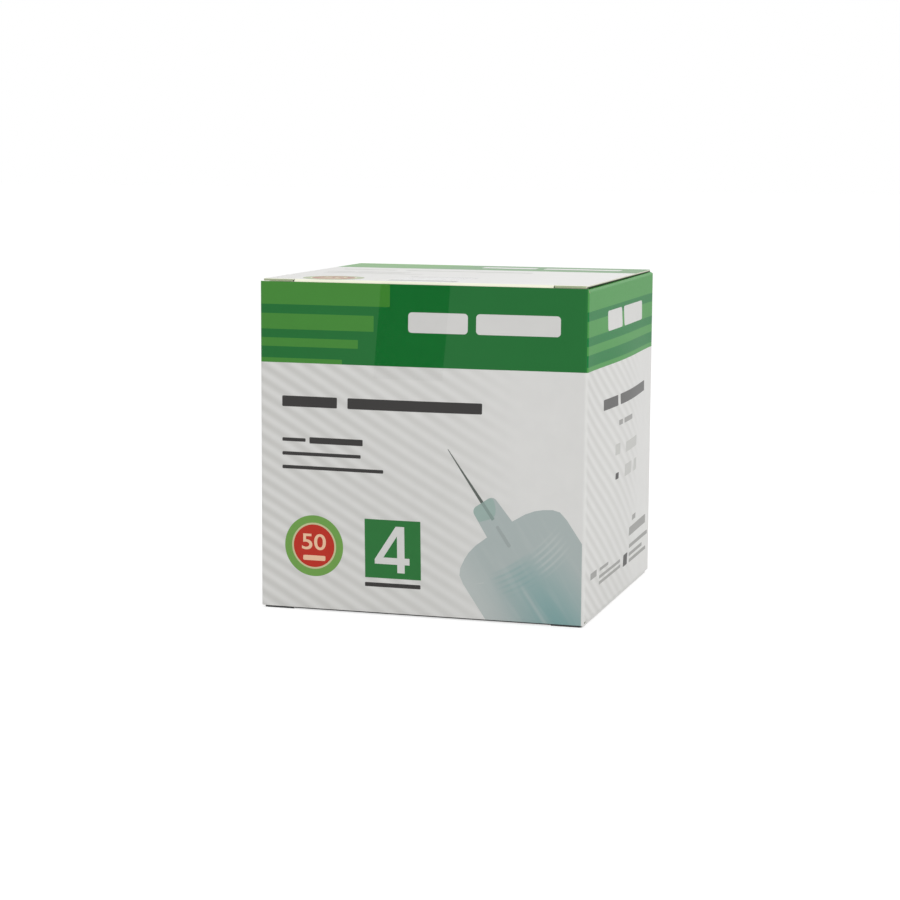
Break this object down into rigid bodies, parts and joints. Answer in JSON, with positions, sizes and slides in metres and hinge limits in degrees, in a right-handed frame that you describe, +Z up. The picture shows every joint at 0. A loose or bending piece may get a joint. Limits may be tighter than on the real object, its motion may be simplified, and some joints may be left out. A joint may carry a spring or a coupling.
{
  "type": "sealed folding carton of pen needles",
  "caption": "Nearly cubic folding carton of capped pen needles, with a tucked lid at each end, a printed band round its top and clear film over the lid's front edge.",
  "frame": {"origin": "under the middle of the bottom lid, on the surface the carton stands on", "axes": "+Z up, +X to the right across the front panel, -Y out of the front panel, which carries the film's longer leg"},
  "size_m": [0.075, 0.0694, 0.0715],
  "materials": {
    "board_white": "white coated carton board with a soft sheen",
    "board_core": "raw cut edge of the board",
    "print_green": "dark green print",
    "print_light_green": "lighter green print",
    "print_grey": "dark grey print",
    "print_teal": "pale blue green print",
    "print_red": "red print",
    "print_white": "white left bare inside the print",
    "clear_film": "clear adhesive film, glossy"
  },
  "bodies": {
    "root": {"carton": "board_white", "clear_seal": "clear_film"}
  },
  "joints": []
}
